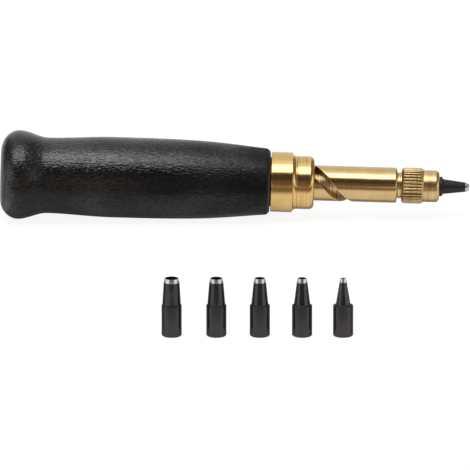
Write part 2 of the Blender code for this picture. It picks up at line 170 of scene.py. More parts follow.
# Each ridge and its groove take this many points, and the groove this share to each side of its middle
KNURL_POINTS = 10
KNURL_VEE = 0.36
# The first ridge is turned by this many points
KNURL_START = 3
# Below this share of its depth the knurl takes darker brass: tarnish and painted shade
KNURL_SHADE = 0.5
# Steps up the knurl's rear chamfer and down to the barrel, as shares of the way
KNURL_RISE = (0.4, 0.6, 0.8, 1.0)
KNURL_FALL = (0.0, 0.25, 0.5, 0.75)
KNURL_LENGTH = 5.25 * MM
KNURL_CHAMFER = 0.6 * MM
BARREL_R = 4.67 * MM
BARREL_ROUND = 1.2 * MM
NUT_MOUTH_CONE = 1.4 * MM

# Bits
BIT_SHANK_R = 2.9 * MM
BIT_SHANK_LENGTH = 9.0 * MM
BIT_LENGTH = 16.95 * MM
BIT_EDGE = 0.3 * MM
BIT_SHOULDER = 0.35 * MM
BIT_LIP = 1.1 * MM
BIT_LIP_FLARE = 0.28 * MM
FITTED_FLARE = 0.40 * MM
BIT_EDGE_WALL = 0.1 * MM
BIT_RELIEF_R = 2.1 * MM
BIT_ROOT_R = 1.78 * MM
BIT_ROOT_SHARE = 0.22
BIT_PROUD = 0.8 * MM
FITTED_CUT = 2.0 * MM
SPARE_CUTS = (4.0, 3.5, 3.0, 2.5, 1.5)

# Nodes of the model that keep their shapes, inside the tool, and take the steel look
HIDDEN_NODES = ("collet", "drive_pin", "stop_ring", "thrust_ball")
HIDDEN_NODES += ("spring_cup", "guide_tube", "spring_seat")

# Stations along the tool, worked out from the sizes above
FERRULE_X = HANDLE_LENGTH + SEAT_GAP
STEM_X = FERRULE_X - STEM_LENGTH
BUSH_X = FERRULE_X + FERRULE_LENGTH + SEAT_GAP / 2
BUSH_FACE_X = BUSH_X + BUSH_LENGTH
BUSH_REAR_X = BUSH_X - BUSH_SHANK_LENGTH
STEM_BORE_R = BUSH_SHANK_R + SEAT_GAP
BUSH_BORE_R = SHAFT_R + RUN_GAP
SHAFT_FRONT_X = BUSH_FACE_X + SHAFT_SHOW
PIN_X = BUSH_FACE_X - PIN_BACK
GROOVE_FRONT_X = PIN_X + PLUNGE + PIN_R + GROOVE_END_ROOM
GROOVE_REAR_X = PIN_X - PIN_R - GROOVE_RUNOUT
RING_X = BUSH_REAR_X - SEAT_GAP - RING_THICK
TAIL_X = BUSH_REAR_X - SHAFT_TAIL
CUP_X = TAIL_X - SEAT_GAP - CUP_LENGTH
SEAT_FACE_X = BORE_BOTTOM + SEAT_GAP + SEAT_THICK
COIL_START_X = SEAT_FACE_X + RUN_GAP + WIRE_R
COIL_END_X = CUP_X - RUN_GAP - WIRE_R
NUT_X = SHAFT_FRONT_X + NUT_OFFSET
NUT_FACE_X = NUT_X + NUT_LENGTH
NUT_BORE_R = NECK_R + RUN_GAP
NUT_MOUTH_R = BIT_SHANK_R + RUN_GAP
NUT_CONE_X = NUT_FACE_X - 2 * NUT_MOUTH_CONE
NUT_CONE_END_X = NUT_FACE_X - NUT_MOUTH_CONE / 2
BIT_SEAT_X = NUT_FACE_X + BIT_PROUD - BIT_SHANK_LENGTH
NECK_END_X = BIT_SEAT_X - SEAT_GAP

# The tool's own axis in the frame: from the butt's flat face towards the tip
BUTT = next(m for m in frame["record"]["mounts"] if m["name"] == "butt_face")
AXIS = -Vector(BUTT["axis"]).normalized()
SIDE = Vector((0.0, 1.0, 0.0))
TOOL = Matrix((AXIS, SIDE, AXIS.cross(SIDE))).transposed().to_4x4()
TOOL.translation = Vector(BUTT["pos_m"])

# Camera and picture
ELEVATION = math.radians(15.35)
DISTANCE = 4.0
CLIP_END = 50.0
PIXELS = 470
PIXELS_PER_MM = 3.4
SENSOR = 36.0
AIM_STATION = 69.0 * MM
AIM_BELOW_AXIS = 16.0 * MM

# Light
SOFTBOX = (3.60, 3.60, 3.60)
SOFTBOX_FRONT = (2.50, 2.50, 2.50)
SOFTBOX_REAR = (1.45, 1.45, 1.45)
SOFTBOX_EDGE = (1.05, 1.05, 1.05)
BACK_WALL = (0.80, 0.80, 0.80)
SIDE_GAP = (0.22, 0.21, 0.20)
SIDE_BOX = (1.20, 1.20, 1.20)
CEILING = (0.06, 0.055, 0.05)
ROOM = (0.18, 0.115, 0.075)
HORIZON = (0.22, 0.165, 0.115)
# Tones round the tool, by the angle in degrees from straight up towards the camera's side
SKY_BANDS = [(-179, BACK_WALL), (-22, BACK_WALL), (-12, SOFTBOX_EDGE), (-3, SOFTBOX_EDGE)]
SKY_BANDS += [(3, SOFTBOX_REAR), (13, SOFTBOX), (24, SOFTBOX), (31, SOFTBOX_FRONT), (34, SOFTBOX_FRONT)]
SKY_BANDS += [(40, CEILING), (65, CEILING), (74, ROOM), (83, ROOM), (85, HORIZON), (93, HORIZON)]
SKY_BANDS += [(179, BACK_WALL)]
# In parts of a unit direction: the softbox ends between these on both sides, and further left high up
SOFTBOX_ENDS = (0.24, 0.48)
LEFT_REACH = 0.25
LEFT_REACH_HEIGHT = (0.35, 0.6)
# The boxes at the sides begin between these, and leave out what is high up or to the rear
SIDE_BOX_EDGE = (0.56, 0.70)
SIDE_BOX_SHARE = 0.5
SIDE_BOX_HIGH = (0.2, 0.4)
SIDE_BOX_REAR = (0.0, 0.25)

# Floor
FLOOR_SIZE = 3.0
FLOOR_TONE = (0.95, 0.95, 0.95)
FLOOR_SEEN_GLOW = 0.85
FLOOR_MIRRORED_GLOW = 0.44
FLOOR_GLOW_LEVEL = 1.12
# Painted shade in front of the tool, seen only in mirrored light
PAINTED_SHADE_FAR = (0.27, 0.24, 0.21)
PAINTED_SHADE_FRONT = (0.25, 0.185, 0.13)
# Painted shadow under the tool and painted shade beside the handle, seen only in mirrored light
PAINTED_SHADOW_UNDER_METAL = (0.45, 0.44, 0.43)
PAINTED_SHADE_BESIDE_HANDLE = (0.66, 0.66, 0.66)
HANDLE_SHADE = (0.25, 0.25, 0.25)
PAINTED_SHADE_CAMERA_NEAR = (0.60, 0.60, 0.60)
PAINTED_SHADE_CAMERA_FAR = (0.36, 0.35, 0.34)
FLOOR_REACH = 300.0 * MM
FLOOR_BEHIND = 30.0 * MM
# In mirrored light the floor takes these tones at these distances in front of the tool's axis: painted
# shadow under the tool and painted shade beside the handle, then painted shade and a painted lighter
# horizon strip further in front
METAL_BANDS = [(-14.0 * MM, FLOOR_TONE), (-8.0 * MM, PAINTED_SHADOW_UNDER_METAL), (1.0 * MM, PAINTED_SHADOW_UNDER_METAL)]
METAL_BANDS += [(3.5 * MM, FLOOR_TONE), (20.0 * MM, FLOOR_TONE)]
# Painted shadow under the handle and painted shade beside it, in mirrored light only
HANDLE_BANDS = [(-30.0 * MM, FLOOR_TONE), (-26.0 * MM, HANDLE_SHADE), (4.0 * MM, HANDLE_SHADE)]
HANDLE_BANDS += [(9.0 * MM, PAINTED_SHADE_BESIDE_HANDLE), (20.0 * MM, PAINTED_SHADE_BESIDE_HANDLE)]
# Painted shade in front of the tool, with a painted lighter strip in the horizon's tone, in mirrored light
# only
FRONT_BANDS = [(34.0 * MM, PAINTED_SHADE_FRONT), (78.0 * MM, PAINTED_SHADE_FRONT), (84.0 * MM, HORIZON), (98.0 * MM, HORIZON)]
FRONT_BANDS += [(106.0 * MM, PAINTED_SHADE_FAR), (128.0 * MM, PAINTED_SHADE_FAR), (131.0 * MM, FLOOR_TONE)]
FRONT_BANDS += [(138.0 * MM, FLOOR_TONE)]
BUTT_FADE = 3.0 * MM
FRONT_FADE = 34.0 * MM
# Painted shade on the camera's side: dim in the middle, and brightening again between these distances to
# each side
CAMERA_BANDS = [(158.0 * MM, PAINTED_SHADE_CAMERA_NEAR), (260.0 * MM, PAINTED_SHADE_CAMERA_FAR)]
CAMERA_SIDES = (34.0 * MM, 75.0 * MM)

# Looks: scales of noise are per metre, for each axis
WOOD_TONE = (60, 400, 400)
WOOD_PORES = (900, 1900, 1900)
WOOD_WAVES = (90, 420, 420)
WOOD_SPECKS = (900, 2400, 2400)
EDGE_GRAIN = (400, 1500, 1500)
POLISH_CLOUDS = (45, 70, 70)
DULL_PATCHES = (110, 150, 150)
PORE_DEPTH = 0.17 * MM
WAVE_HEIGHT = 0.08 * MM
LACQUER_TONES = ((0.0025, 0.0033, 0.0043), (0.0044, 0.0056, 0.0069))
LACQUER_ROUGHNESS = (0.14, 0.22)
POLISH_GLOSS = (0.30, 0.60)
SPECK_GLOSS = (0.80, 1.45)
# The lacquer's gloss changes along these stretches of the handle
PALM = (30.0 * MM, 75.0 * MM)
PALM_GLOSS = (1.18, 0.43)
BUTT_EDGE = (0.5 * MM, 2.5 * MM)
BUTT_GLOSS = (0.45, 1.0)
# Towards the ferrule it grows rougher by this much, in patches
DULL_FRONT = (50.0 * MM, 76.0 * MM)
DULL_ROUGHNESS = 0.26
DULL_UNEVEN = (0.3, 1.7)
EDGE_TONES = ((0.008, 0.005, 0.003), (0.020, 0.011, 0.006))
EDGE_ROUGHNESS = 0.5
TARNISH_CLOUDS = (180, 220, 220)
TURNING_MARKS = (2800, 60, 60)
LATHE_RINGS = (9000, 120, 120)
LATHE_HEIGHT = 0.01 * MM
OXIDE_CLOUDS = (140, 140, 140)
OXIDE_DARK = (0.010, 0.0107, 0.0116)
OXIDE_LINES = 0.08
UPRIGHT_RINGS = (90, 90, 7000)
LEVEL_RINGS = (7000, 90, 90)
GROUND_TONES = ((0.58, 0.57, 0.55), (0.74, 0.73, 0.71))
GROUND_ROUGHNESS = (0.20, 0.30)
GROUND_LINES = 0.1
UPRIGHT_GRINDING = (300, 300, 9000)
LEVEL_GRINDING = (9000, 300, 300)
RING_HEIGHT = 0.008 * MM
STEEL_CLOUDS = (600, 600, 600)
STEEL_TONES = ((0.48, 0.48, 0.48), (0.62, 0.62, 0.61))
STEEL_ROUGHNESS = (0.25, 0.4)


# Materials

def new_look(name):
    """An empty material, its node tree and its main shader."""
    look = bpy.data.materials.new(name)
    look.use_nodes = True
    return look, look.node_tree, look.node_tree.nodes["Principled BSDF"]


def noise(tree, scale, detail=2.0, rough=0.5, place=None):
    """Noise over the object's own coordinates, or a place's, with a scale for each axis, per metre."""
    coords = tree.nodes.new("ShaderNodeTexCoord")
    mapping = tree.nodes.new("ShaderNodeMapping")
    mapping.inputs["Scale"].default_value = scale
    if place is not None:
        mapping.vector_type = "TEXTURE"
        mapping.inputs["Location"].default_value = place.translation
        mapping.inputs["Rotation"].default_value = place.to_euler()
        mapping.inputs["Scale"].default_value = [1.0 / s for s in scale]
    texture = tree.nodes.new("ShaderNodeTexNoise")
    texture.inputs["Scale"].default_value = 1.0
    texture.inputs["Detail"].default_value = detail
    texture.inputs["Roughness"].default_value = rough
    tree.links.new(coords.outputs["Object"], mapping.inputs["Vector"])
    tree.links.new(mapping.outputs["Vector"], texture.inputs["Vector"])
    return texture.outputs["Fac"]


def station(tree):
    """Distance along the tool from the flat of its butt."""
    coords = tree.nodes.new("ShaderNodeTexCoord")
    mapping = tree.nodes.new("ShaderNodeMapping")
    mapping.vector_type = "TEXTURE"
    mapping.inputs["Location"].default_value = TOOL.translation
    mapping.inputs["Rotation"].default_value = TOOL.to_euler()
    split = tree.nodes.new("ShaderNodeSeparateXYZ")
    tree.links.new(coords.outputs["Object"], mapping.inputs["Vector"])
    tree.links.new(mapping.outputs["Vector"], split.inputs[0])
    return split.outputs["X"]


def ramp(tree, value, stops):
    """Colours by value: a list of (position, colour)."""
    node = tree.nodes.new("ShaderNodeValToRGB")
    node.color_ramp.elements[0].position = stops[0][0]
    node.color_ramp.elements[0].color = (*stops[0][1], 1.0)
    node.color_ramp.elements[1].position = stops[-1][0]
    node.color_ramp.elements[1].color = (*stops[-1][1], 1.0)
    for place, colour in stops[1:-1]:
        node.color_ramp.elements.new(place).color = (*colour, 1.0)
    tree.links.new(value, node.inputs["Fac"])
    return node.outputs["Color"]


def spread(tree, value, low, high, start=0.3, end=0.7):
    """A number from low to high as the value runs from start to end."""
    node = tree.nodes.new("ShaderNodeMapRange")
    node.inputs["From Min"].default_value = start
    node.inputs["From Max"].default_value = end
    node.inputs["To Min"].default_value = low
    node.inputs["To Max"].default_value = high
    tree.links.new(value, node.inputs["Value"])
    return node.outputs["Result"]


def math_node(tree, operation, *values):
    """A math node whose inputs are sockets or numbers."""
    node = tree.nodes.new("ShaderNodeMath")
    node.operation = operation
    for place, value in zip(node.inputs, values):
        if isinstance(value, (int, float)):
            place.default_value = value
        else:
            tree.links.new(value, place)
    return node.outputs[0]


def blend(tree, share, first, second):
    """From the first colour to the second as the share runs from 0 to 1."""
    node = tree.nodes.new("ShaderNodeMix")
    node.data_type = "RGBA"
    for place, value in zip(("Factor_Float", "A_Color", "B_Color"), (share, first, second)):
        tree.links.new(value, next(socket for socket in node.inputs if socket.identifier == place))
    return next(socket for socket in node.outputs if socket.identifier == "Result_Color")


def bump(tree, height, distance, strength, under=None):
    """A bump of the given height in metres, over another bump if there is one."""
    node = tree.nodes.new("ShaderNodeBump")
    node.inputs["Distance"].default_value = distance
    node.inputs["Strength"].default_value = strength
    tree.links.new(height, node.inputs["Height"])
    if under is not None:
        tree.links.new(under, node.inputs["Normal"])
    return node.outputs["Normal"]


def two_tones(tree, value, tones):
    """From the first tone to the second over the middle of the value's range."""
    return ramp(tree, value, [(0.3, tones[0]), (0.7, tones[1])])


def lacquer_look():
    """Black satin lacquer over open-pored wood: the grain runs along the handle."""
    look, tree, shader = new_look("black_lacquered_wood")
    tone = noise(tree, WOOD_TONE, detail=3.0, place=TOOL)
    tree.links.new(two_tones(tree, tone, LACQUER_TONES), shader.inputs["Base Color"])
    along = station(tree)
    pores = noise(tree, WOOD_PORES, place=TOOL)
    patches = spread(tree, noise(tree, DULL_PATCHES, place=TOOL), *DULL_UNEVEN, 0.35, 0.65)
    dull = math_node(tree, "MULTIPLY", patches, spread(tree, along, 0.0, DULL_ROUGHNESS, *DULL_FRONT))
    rough = math_node(tree, "ADD", spread(tree, pores, *LACQUER_ROUGHNESS), dull)
    tree.links.new(rough, shader.inputs["Roughness"])
    waves = bump(tree, noise(tree, WOOD_WAVES, place=TOOL), WAVE_HEIGHT, 0.5)
    tree.links.new(bump(tree, pores, PORE_DEPTH, 1.0, waves), shader.inputs["Normal"])
    polish = spread(tree, noise(tree, POLISH_CLOUDS, detail=1.0, place=TOOL), *POLISH_GLOSS, 0.38, 0.62)
    specks = spread(tree, noise(tree, WOOD_SPECKS, detail=1.0, place=TOOL), *SPECK_GLOSS, 0.35, 0.65)
    gloss = math_node(tree, "MULTIPLY", polish, specks)
    gloss = math_node(tree, "MULTIPLY", gloss, spread(tree, along, *PALM_GLOSS, *PALM))
    gloss = math_node(tree, "MULTIPLY", gloss, spread(tree, along, *BUTT_GLOSS, *BUTT_EDGE))
    tree.links.new(gloss, shader.inputs["Specular IOR Level"])
    return look


def edge_look():
    """Front edge of the handle, where the lacquer thins to dark brown wood."""
    look, tree, shader = new_look("thin_lacquer_edge")
    tone = noise(tree, EDGE_GRAIN, detail=3.0, place=TOOL)
    tree.links.new(two_tones(tree, tone, EDGE_TONES), shader.inputs["Base Color"])
    shader.inputs["Roughness"].default_value = EDGE_ROUGHNESS
    return look


def brass_look(name, light, dark, shine, lines, marks=0.0):
    """Turned brass: fine rings of the lathe, faint tarnish, uneven polish, coarser dark marks."""
    look, tree, shader = new_look(name)
    tarnish = noise(tree, TARNISH_CLOUDS, detail=4.0, rough=0.6)
    marked = tree.nodes.new("ShaderNodeVectorMath")
    marked.operation = "SCALE"
    tree.links.new(ramp(tree, tarnish, [(0.35, light), (0.75, dark)]), marked.inputs[0])
    turning = noise(tree, TURNING_MARKS, detail=1.0)
    shade = spread(tree, turning, 1.0 - marks, 1.0 + marks / 2, 0.35, 0.60)
    tree.links.new(shade, marked.inputs["Scale"])
    tree.links.new(marked.outputs[0], shader.inputs["Base Color"])
    shader.inputs["Metallic"].default_value = 1.0
    rings = noise(tree, LATHE_RINGS)
    tree.links.new(spread(tree, rings, *shine), shader.inputs["Roughness"])
    tree.links.new(bump(tree, rings, LATHE_HEIGHT, lines), shader.inputs["Normal"])
    return look


def oxide_look(name, tint, shine, rings_scale, gloss=0.6, place=None):
    """Black oxide on turned steel, with a faint cast and fine rings."""
    look, tree, shader = new_look(name)
    cast = noise(tree, OXIDE_CLOUDS, detail=3.0, place=place)
    tree.links.new(two_tones(tree, cast, (OXIDE_DARK, tint)), shader.inputs["Base Color"])
    rings = noise(tree, rings_scale, place=place)
    tree.links.new(spread(tree, rings, *shine), shader.inputs["Roughness"])
    tree.links.new(bump(tree, rings, RING_HEIGHT, OXIDE_LINES), shader.inputs["Normal"])
    shader.inputs["Specular IOR Level"].default_value = gloss
    return look


def ground_look(name, rings_scale, place=None):
    """Bright steel of the ground cutting lip."""
    look, tree, shader = new_look(name)
    rings = noise(tree, rings_scale, place=place)
    tree.links.new(two_tones(tree, rings, GROUND_TONES), shader.inputs["Base Color"])
    shader.inputs["Metallic"].default_value = 1.0
    tree.links.new(spread(tree, rings, *GROUND_ROUGHNESS), shader.inputs["Roughness"])
    tree.links.new(bump(tree, rings, RING_HEIGHT, GROUND_LINES), shader.inputs["Normal"])
    return look


def steel_look():
    """Plain bright steel of the hidden pieces."""
    look, tree, shader = new_look("bright_steel")
    cloud = noise(tree, STEEL_CLOUDS, detail=3.0)
    tree.links.new(two_tones(tree, cloud, STEEL_TONES), shader.inputs["Base Color"])
    shader.inputs["Metallic"].default_value = 1.0
    tree.links.new(spread(tree, cloud, *STEEL_ROUGHNESS), shader.inputs["Roughness"])
    return look


LACQUER = lacquer_look()
WORN_EDGE = edge_look()
BRASS = brass_look(
    "polished_brass", light=(0.795, 0.55, 0.222), dark=(0.71, 0.475, 0.185),
    shine=(0.10, 0.18), lines=0.25, marks=0.03,
)
SHAFT_BRASS = brass_look(
    "drawn_brass", light=(0.71, 0.515, 0.25), dark=(0.63, 0.44, 0.205),
    shine=(0.13, 0.20), lines=0.25, marks=0.03,
)
BUSH_BRASS = brass_look(
    "turned_brass", light=(0.795, 0.545, 0.218), dark=(0.71, 0.47, 0.18),
    shine=(0.12, 0.20), lines=0.7, marks=0.14,
)
# Darker brass in the knurl's grooves and on the nut's rear: tarnish and painted shade
KNURL_TARNISH_AND_SHADE_BRASS = brass_look(
    "tarnish_and_painted_shade_brass", light=(0.40, 0.25, 0.10), dark=(0.30, 0.18, 0.07),
    shine=(0.26, 0.38), lines=0.5, marks=0.2,
)
# Milled brass in the groove, darker as painted shade
GROOVE_MILLED_SHADE_BRASS = brass_look(
    "milled_brass_painted_shade", light=(0.70, 0.52, 0.29), dark=(0.46, 0.31, 0.15),
    shine=(0.36, 0.50), lines=0.5, marks=0.40,
)
NUT_BRASS = brass_look(
    "satin_brass", light=(0.76, 0.535, 0.25), dark=(0.66, 0.45, 0.20),
    shine=(0.24, 0.33), lines=0.5, marks=0.20,
)
# Darker, rougher brass on the knurl's ridges
RIDGE_BRASS = brass_look(
    "darker_ridge_brass", light=(0.67, 0.475, 0.23), dark=(0.58, 0.40, 0.185),
    shine=(0.30, 0.40), lines=0.5, marks=0.20,
)
# Brass painted paler on the threaded neck: painted light, in place of the darker light mirrored between
# the brass faces there
NECK_BRASS_PAINTED_PALE = brass_look(
    "neck_brass_painted_paler", light=(0.80, 0.65, 0.38), dark=(0.72, 0.56, 0.31),
    shine=(0.20, 0.30), lines=0.25,
)
OXIDE = oxide_look(
    "black_oxide_steel", tint=(0.0135, 0.0147, 0.0160), shine=(0.08, 0.15), rings_scale=UPRIGHT_RINGS,
)
PLUM_OXIDE = oxide_look(
    "plum_oxide_steel", tint=(0.036, 0.023, 0.030), shine=(0.08, 0.15), rings_scale=UPRIGHT_RINGS,
)
FITTED_OXIDE = oxide_look(
    "fitted_bit_oxide", tint=(0.013, 0.011, 0.012), shine=(0.38, 0.50), rings_scale=LEVEL_RINGS,
    gloss=0.4, place=TOOL,
)
DULL_OXIDE = oxide_look(
    "dull_oxide_shoulder", tint=(0.010, 0.0105, 0.011), shine=(0.40, 0.50), rings_scale=UPRIGHT_RINGS,
    gloss=0.25,
)
GROUND = ground_look("ground_steel_lip", UPRIGHT_GRINDING)
FITTED_GROUND = ground_look("fitted_bit_lip", LEVEL_GRINDING, TOOL)
STEEL = steel_look()


# Shapes

def rounded(centre, radii, start, end, steps):
    """Points on an elliptical corner between two angles in degrees."""
    arc = []
    for step in range(steps + 1):
        angle = math.radians(start + (end - start) * step / steps)
        x = centre[0] + radii[0] * math.cos(angle)
        arc.append((x, centre[1] + radii[1] * math.sin(angle)))
    return arc


def smooth_run(points, steps):
    """Stations and radii along a smooth curve, level at its first point."""
    slopes = [0.0]
    for before, here, after in zip(points, points[1:], points[2:]):
        rise_in = (here[1] - before[1]) / (here[0] - before[0])
        rise_out = (after[1] - here[1]) / (after[0] - here[0])
        slopes.append(0.0 if rise_in * rise_out < 0 else (rise_in + rise_out) / 2)
    slopes.append((points[-1][1] - points[-2][1]) / (points[-1][0] - points[-2][0]))
    run = []
    for i, (start, end) in enumerate(zip(points, points[1:])):
        span = end[0] - start[0]
        for step in range(steps):
            t = step / steps
            rise = start[1] * (2 * t**3 - 3 * t**2 + 1) + end[1] * (3 * t**2 - 2 * t**3)
            lean = slopes[i] * (t**3 - 2 * t**2 + t) + slopes[i + 1] * (t**3 - t**2)
            run.append((start[0] + t * span, rise + lean * span))
    run.append(points[-1])
    return run


def eased(points, radius, closed=False):
    """The outline with each sharp corner eased by a small curve."""
    out = []
    count = len(points)
    for i, point in enumerate(points):
        ends = not closed and i in (0, count - 1)
        here = Vector(point)
        before = Vector(points[i - 1])
        after = Vector(points[(i + 1) % count])
        into = here - before
        away = after - here
        plain = ends or into.length == 0 or away.length == 0
        if plain or into.angle(away) <= math.radians(SHARP_CORNER):
            out.append(tuple(here))
            continue
        start = here - into.normalized() * min(radius, EASE_SHARE * into.length)
        end = here + away.normalized() * min(radius, EASE_SHARE * away.length)
        for step in range(EASE_STEPS + 1):
            t = step / EASE_STEPS
            spot = start * (1 - t) ** 2 + here * 2 * t * (1 - t) + end * t**2
            out.append(tuple(spot))
    return out


def around(x, radius, angle):
    """A point at a station, a radius and an angle from the top towards the front."""
    return (x, -radius * math.sin(angle), radius * math.cos(angle))


def skin(rings, closed):
    """A bmesh over rings of equally many points; a ring of one point closes an end."""
    bm = bmesh.new()
    loops = [[bm.verts.new(spot) for spot in ring] for ring in rings]
    pairs = list(zip(loops, loops[1:]))
    if closed:
        pairs.append((loops[-1], loops[0]))
    for near, far in pairs:
        count = max(len(near), len(far))
        for k in range(count):
            j = (k + 1) % count
            if len(near) == 1:
                bm.faces.new((near[0], far[j], far[k]))
            elif len(far) == 1:
                bm.faces.new((near[k], near[j], far[0]))
            else:
                bm.faces.new((near[k], near[j], far[j], far[k]))
    bmesh.ops.recalc_face_normals(bm, faces=bm.faces)
    return bm


def turned(outline, sides, closed):
    """A bmesh turned about X from (station, radius) points."""
    rings = []
    for x, r in outline:
        count = 1 if r < ON_AXIS else sides
        rings.append([around(x, r, 2 * math.pi * k / sides) for k in range(count)])
    return skin(rings, closed)


def piece(name, bm, looks, place, body, slot, *nodes):
    """Make a named piece, shade it, set it in place and let it ride."""
    mesh = bpy.data.meshes.new(name)
    bm.to_mesh(mesh)
    bm.free()
    mesh.shade_smooth()
    mesh.set_sharp_from_angle(angle=math.radians(SMOOTH_ANGLE))
    for look in looks:
        mesh.materials.append(look)
    made = bpy.data.objects.new(name, mesh)
    bpy.context.collection.objects.link(made)
    made.matrix_world = place
    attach(made, body)
    if nodes:
        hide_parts(*nodes)
    return made


def paint(bm, index, wanted):
    """Give the look of an index to the faces whose middle passes a test."""
    for face in bm.faces:
        if wanted(face.calc_center_median()):
            face.material_index = index


def make_handle():
    """Turned handle with its rounded butt and chamfered front."""
    butt = rounded((FLARE_X, BUTT_FLAT_R), (FLARE_X, FLARE_R - BUTT_FLAT_R), 180, 90, BUTT_STEPS)
    stations = [(FLARE_X, FLARE_R), (WAIST_X, WAIST_R), (BELLY_X, BELLY_R)]
    stations += [(SHOULDER_X, SHOULDER_R), (FRONT_X, FRONT_R)]
    body = smooth_run(stations, RUN_STEPS)
    bore = [
        (HANDLE_LENGTH, STEM_R + SEAT_GAP),
        (STEM_X - SEAT_GAP, STEM_R + SEAT_GAP),
        (STEM_X - SEAT_GAP, TUBE_R + SEAT_GAP),
        (BORE_BOTTOM, TUBE_R + SEAT_GAP),
        (BORE_BOTTOM, 0.0),
    ]
    outline = [(0.0, 0.0)] + butt + body[1:] + [(HANDLE_LENGTH, FRONT_R - HANDLE_CHAMFER)] + bore
    outline = [(x, r * HANDLE_FLAT) for x, r in outline]
    bm = turned(eased(outline, 2 * EDGE_EASE), HANDLE_SIDES, False)
    paint(bm, 1, lambda c: c.x > FRONT_X + HANDLE_CHAMFER_LENGTH / 2)
    bm.transform(TOOL)
    looks = [LACQUER, WORN_EDGE]
    piece("turned_handle", bm, looks, Matrix.Identity(4), "handle_body", "lacquered_wood", "handle")


def make_ferrule():
    """Brass collar with a hollow cove and a stem inside the wood."""
    front = BUSH_X - SEAM
    cove = rounded((front, FERRULE_R), (FERRULE_COVE, FERRULE_R - BUSH_R), 180, 270, COVE_STEPS)
    outline = [(STEM_X, STEM_BORE_R), (STEM_X, STEM_R), (FERRULE_X, STEM_R), (FERRULE_X, FERRULE_R)]
    outline += cove + [(front, STEM_BORE_R)]
    bm = turned(eased(outline, EDGE_EASE, True), METAL_SIDES, True)
    piece("brass_ferrule", bm, [BRASS], TOOL, "handle_body", "polished_brass", "ferrule")


def make_guide_bush():
    """Brass bush with a rounded nose that carries the shaft."""
    centre = (BUSH_FACE_X - BUSH_ROUND, BUSH_R - BUSH_ROUND)
    nose = rounded(centre, (BUSH_ROUND, BUSH_ROUND), 90, 0, NOSE_STEPS)
    outline = [(BUSH_REAR_X, BUSH_BORE_R), (BUSH_REAR_X, BUSH_SHANK_R)]
    outline += [(BUSH_X, BUSH_SHANK_R), (BUSH_X, BUSH_R)] + nose + [(BUSH_FACE_X, BUSH_BORE_R)]
    bm = turned(eased(outline, EDGE_EASE, True), METAL_SIDES, True)
    piece("brass_guide_bush", bm, [BUSH_BRASS], TOOL, "handle_body", "polished_brass", "guide_bush")


def groove_angle(x):
    """Angle of the groove's middle about the axis, from the top towards the front."""
    return math.pi / 2 + 2 * math.pi * (x - BUSH_FACE_X - GROOVE_FACES_FRONT) / LEAD


def groove_share(x):
    """How much of its full depth the groove has at a station."""
    inside = min(x - GROOVE_REAR_X, GROOVE_FRONT_X - x)
    part = min(max(inside, 0.0) / GROOVE_RUNOUT, 1.0)
    return math.sqrt(1.0 - (1.0 - part) ** 2)


def shaft_ring(x, radius, depth=0.0, thread=0.0):
    """One ring of the shaft, turned with the helix so that the groove keeps its points."""
    half = math.pi * GROOVE_WIDTH / LEAD
    wall = GROOVE_WALL + [(0.0, 1.0)] + [(-a, sunk) for a, sunk in reversed(GROOVE_WALL)]
    ring = [(half * a, radius - depth * sunk) for a, sunk in wall]
    land_start = ring[-1][0]
    land = 2 * math.pi - 2 * land_start
    steps = METAL_SIDES - len(wall) + 1
    ring += [(land_start + land * k / steps, radius) for k in range(1, steps)]
    middle = groove_angle(min(max(x, GROOVE_REAR_X), GROOVE_FRONT_X))
    spots = []
    for angle, r in ring:
        turn = middle + angle
        if thread:
            phase = ((x - SHAFT_FRONT_X) / THREAD_PITCH - turn / (2 * math.pi)) % 1.0
            r -= thread * (1.0 - min(1.0, min(phase, 1.0 - phase) / THREAD_VEE))
        spots.append(around(x, r, turn))
    return spots


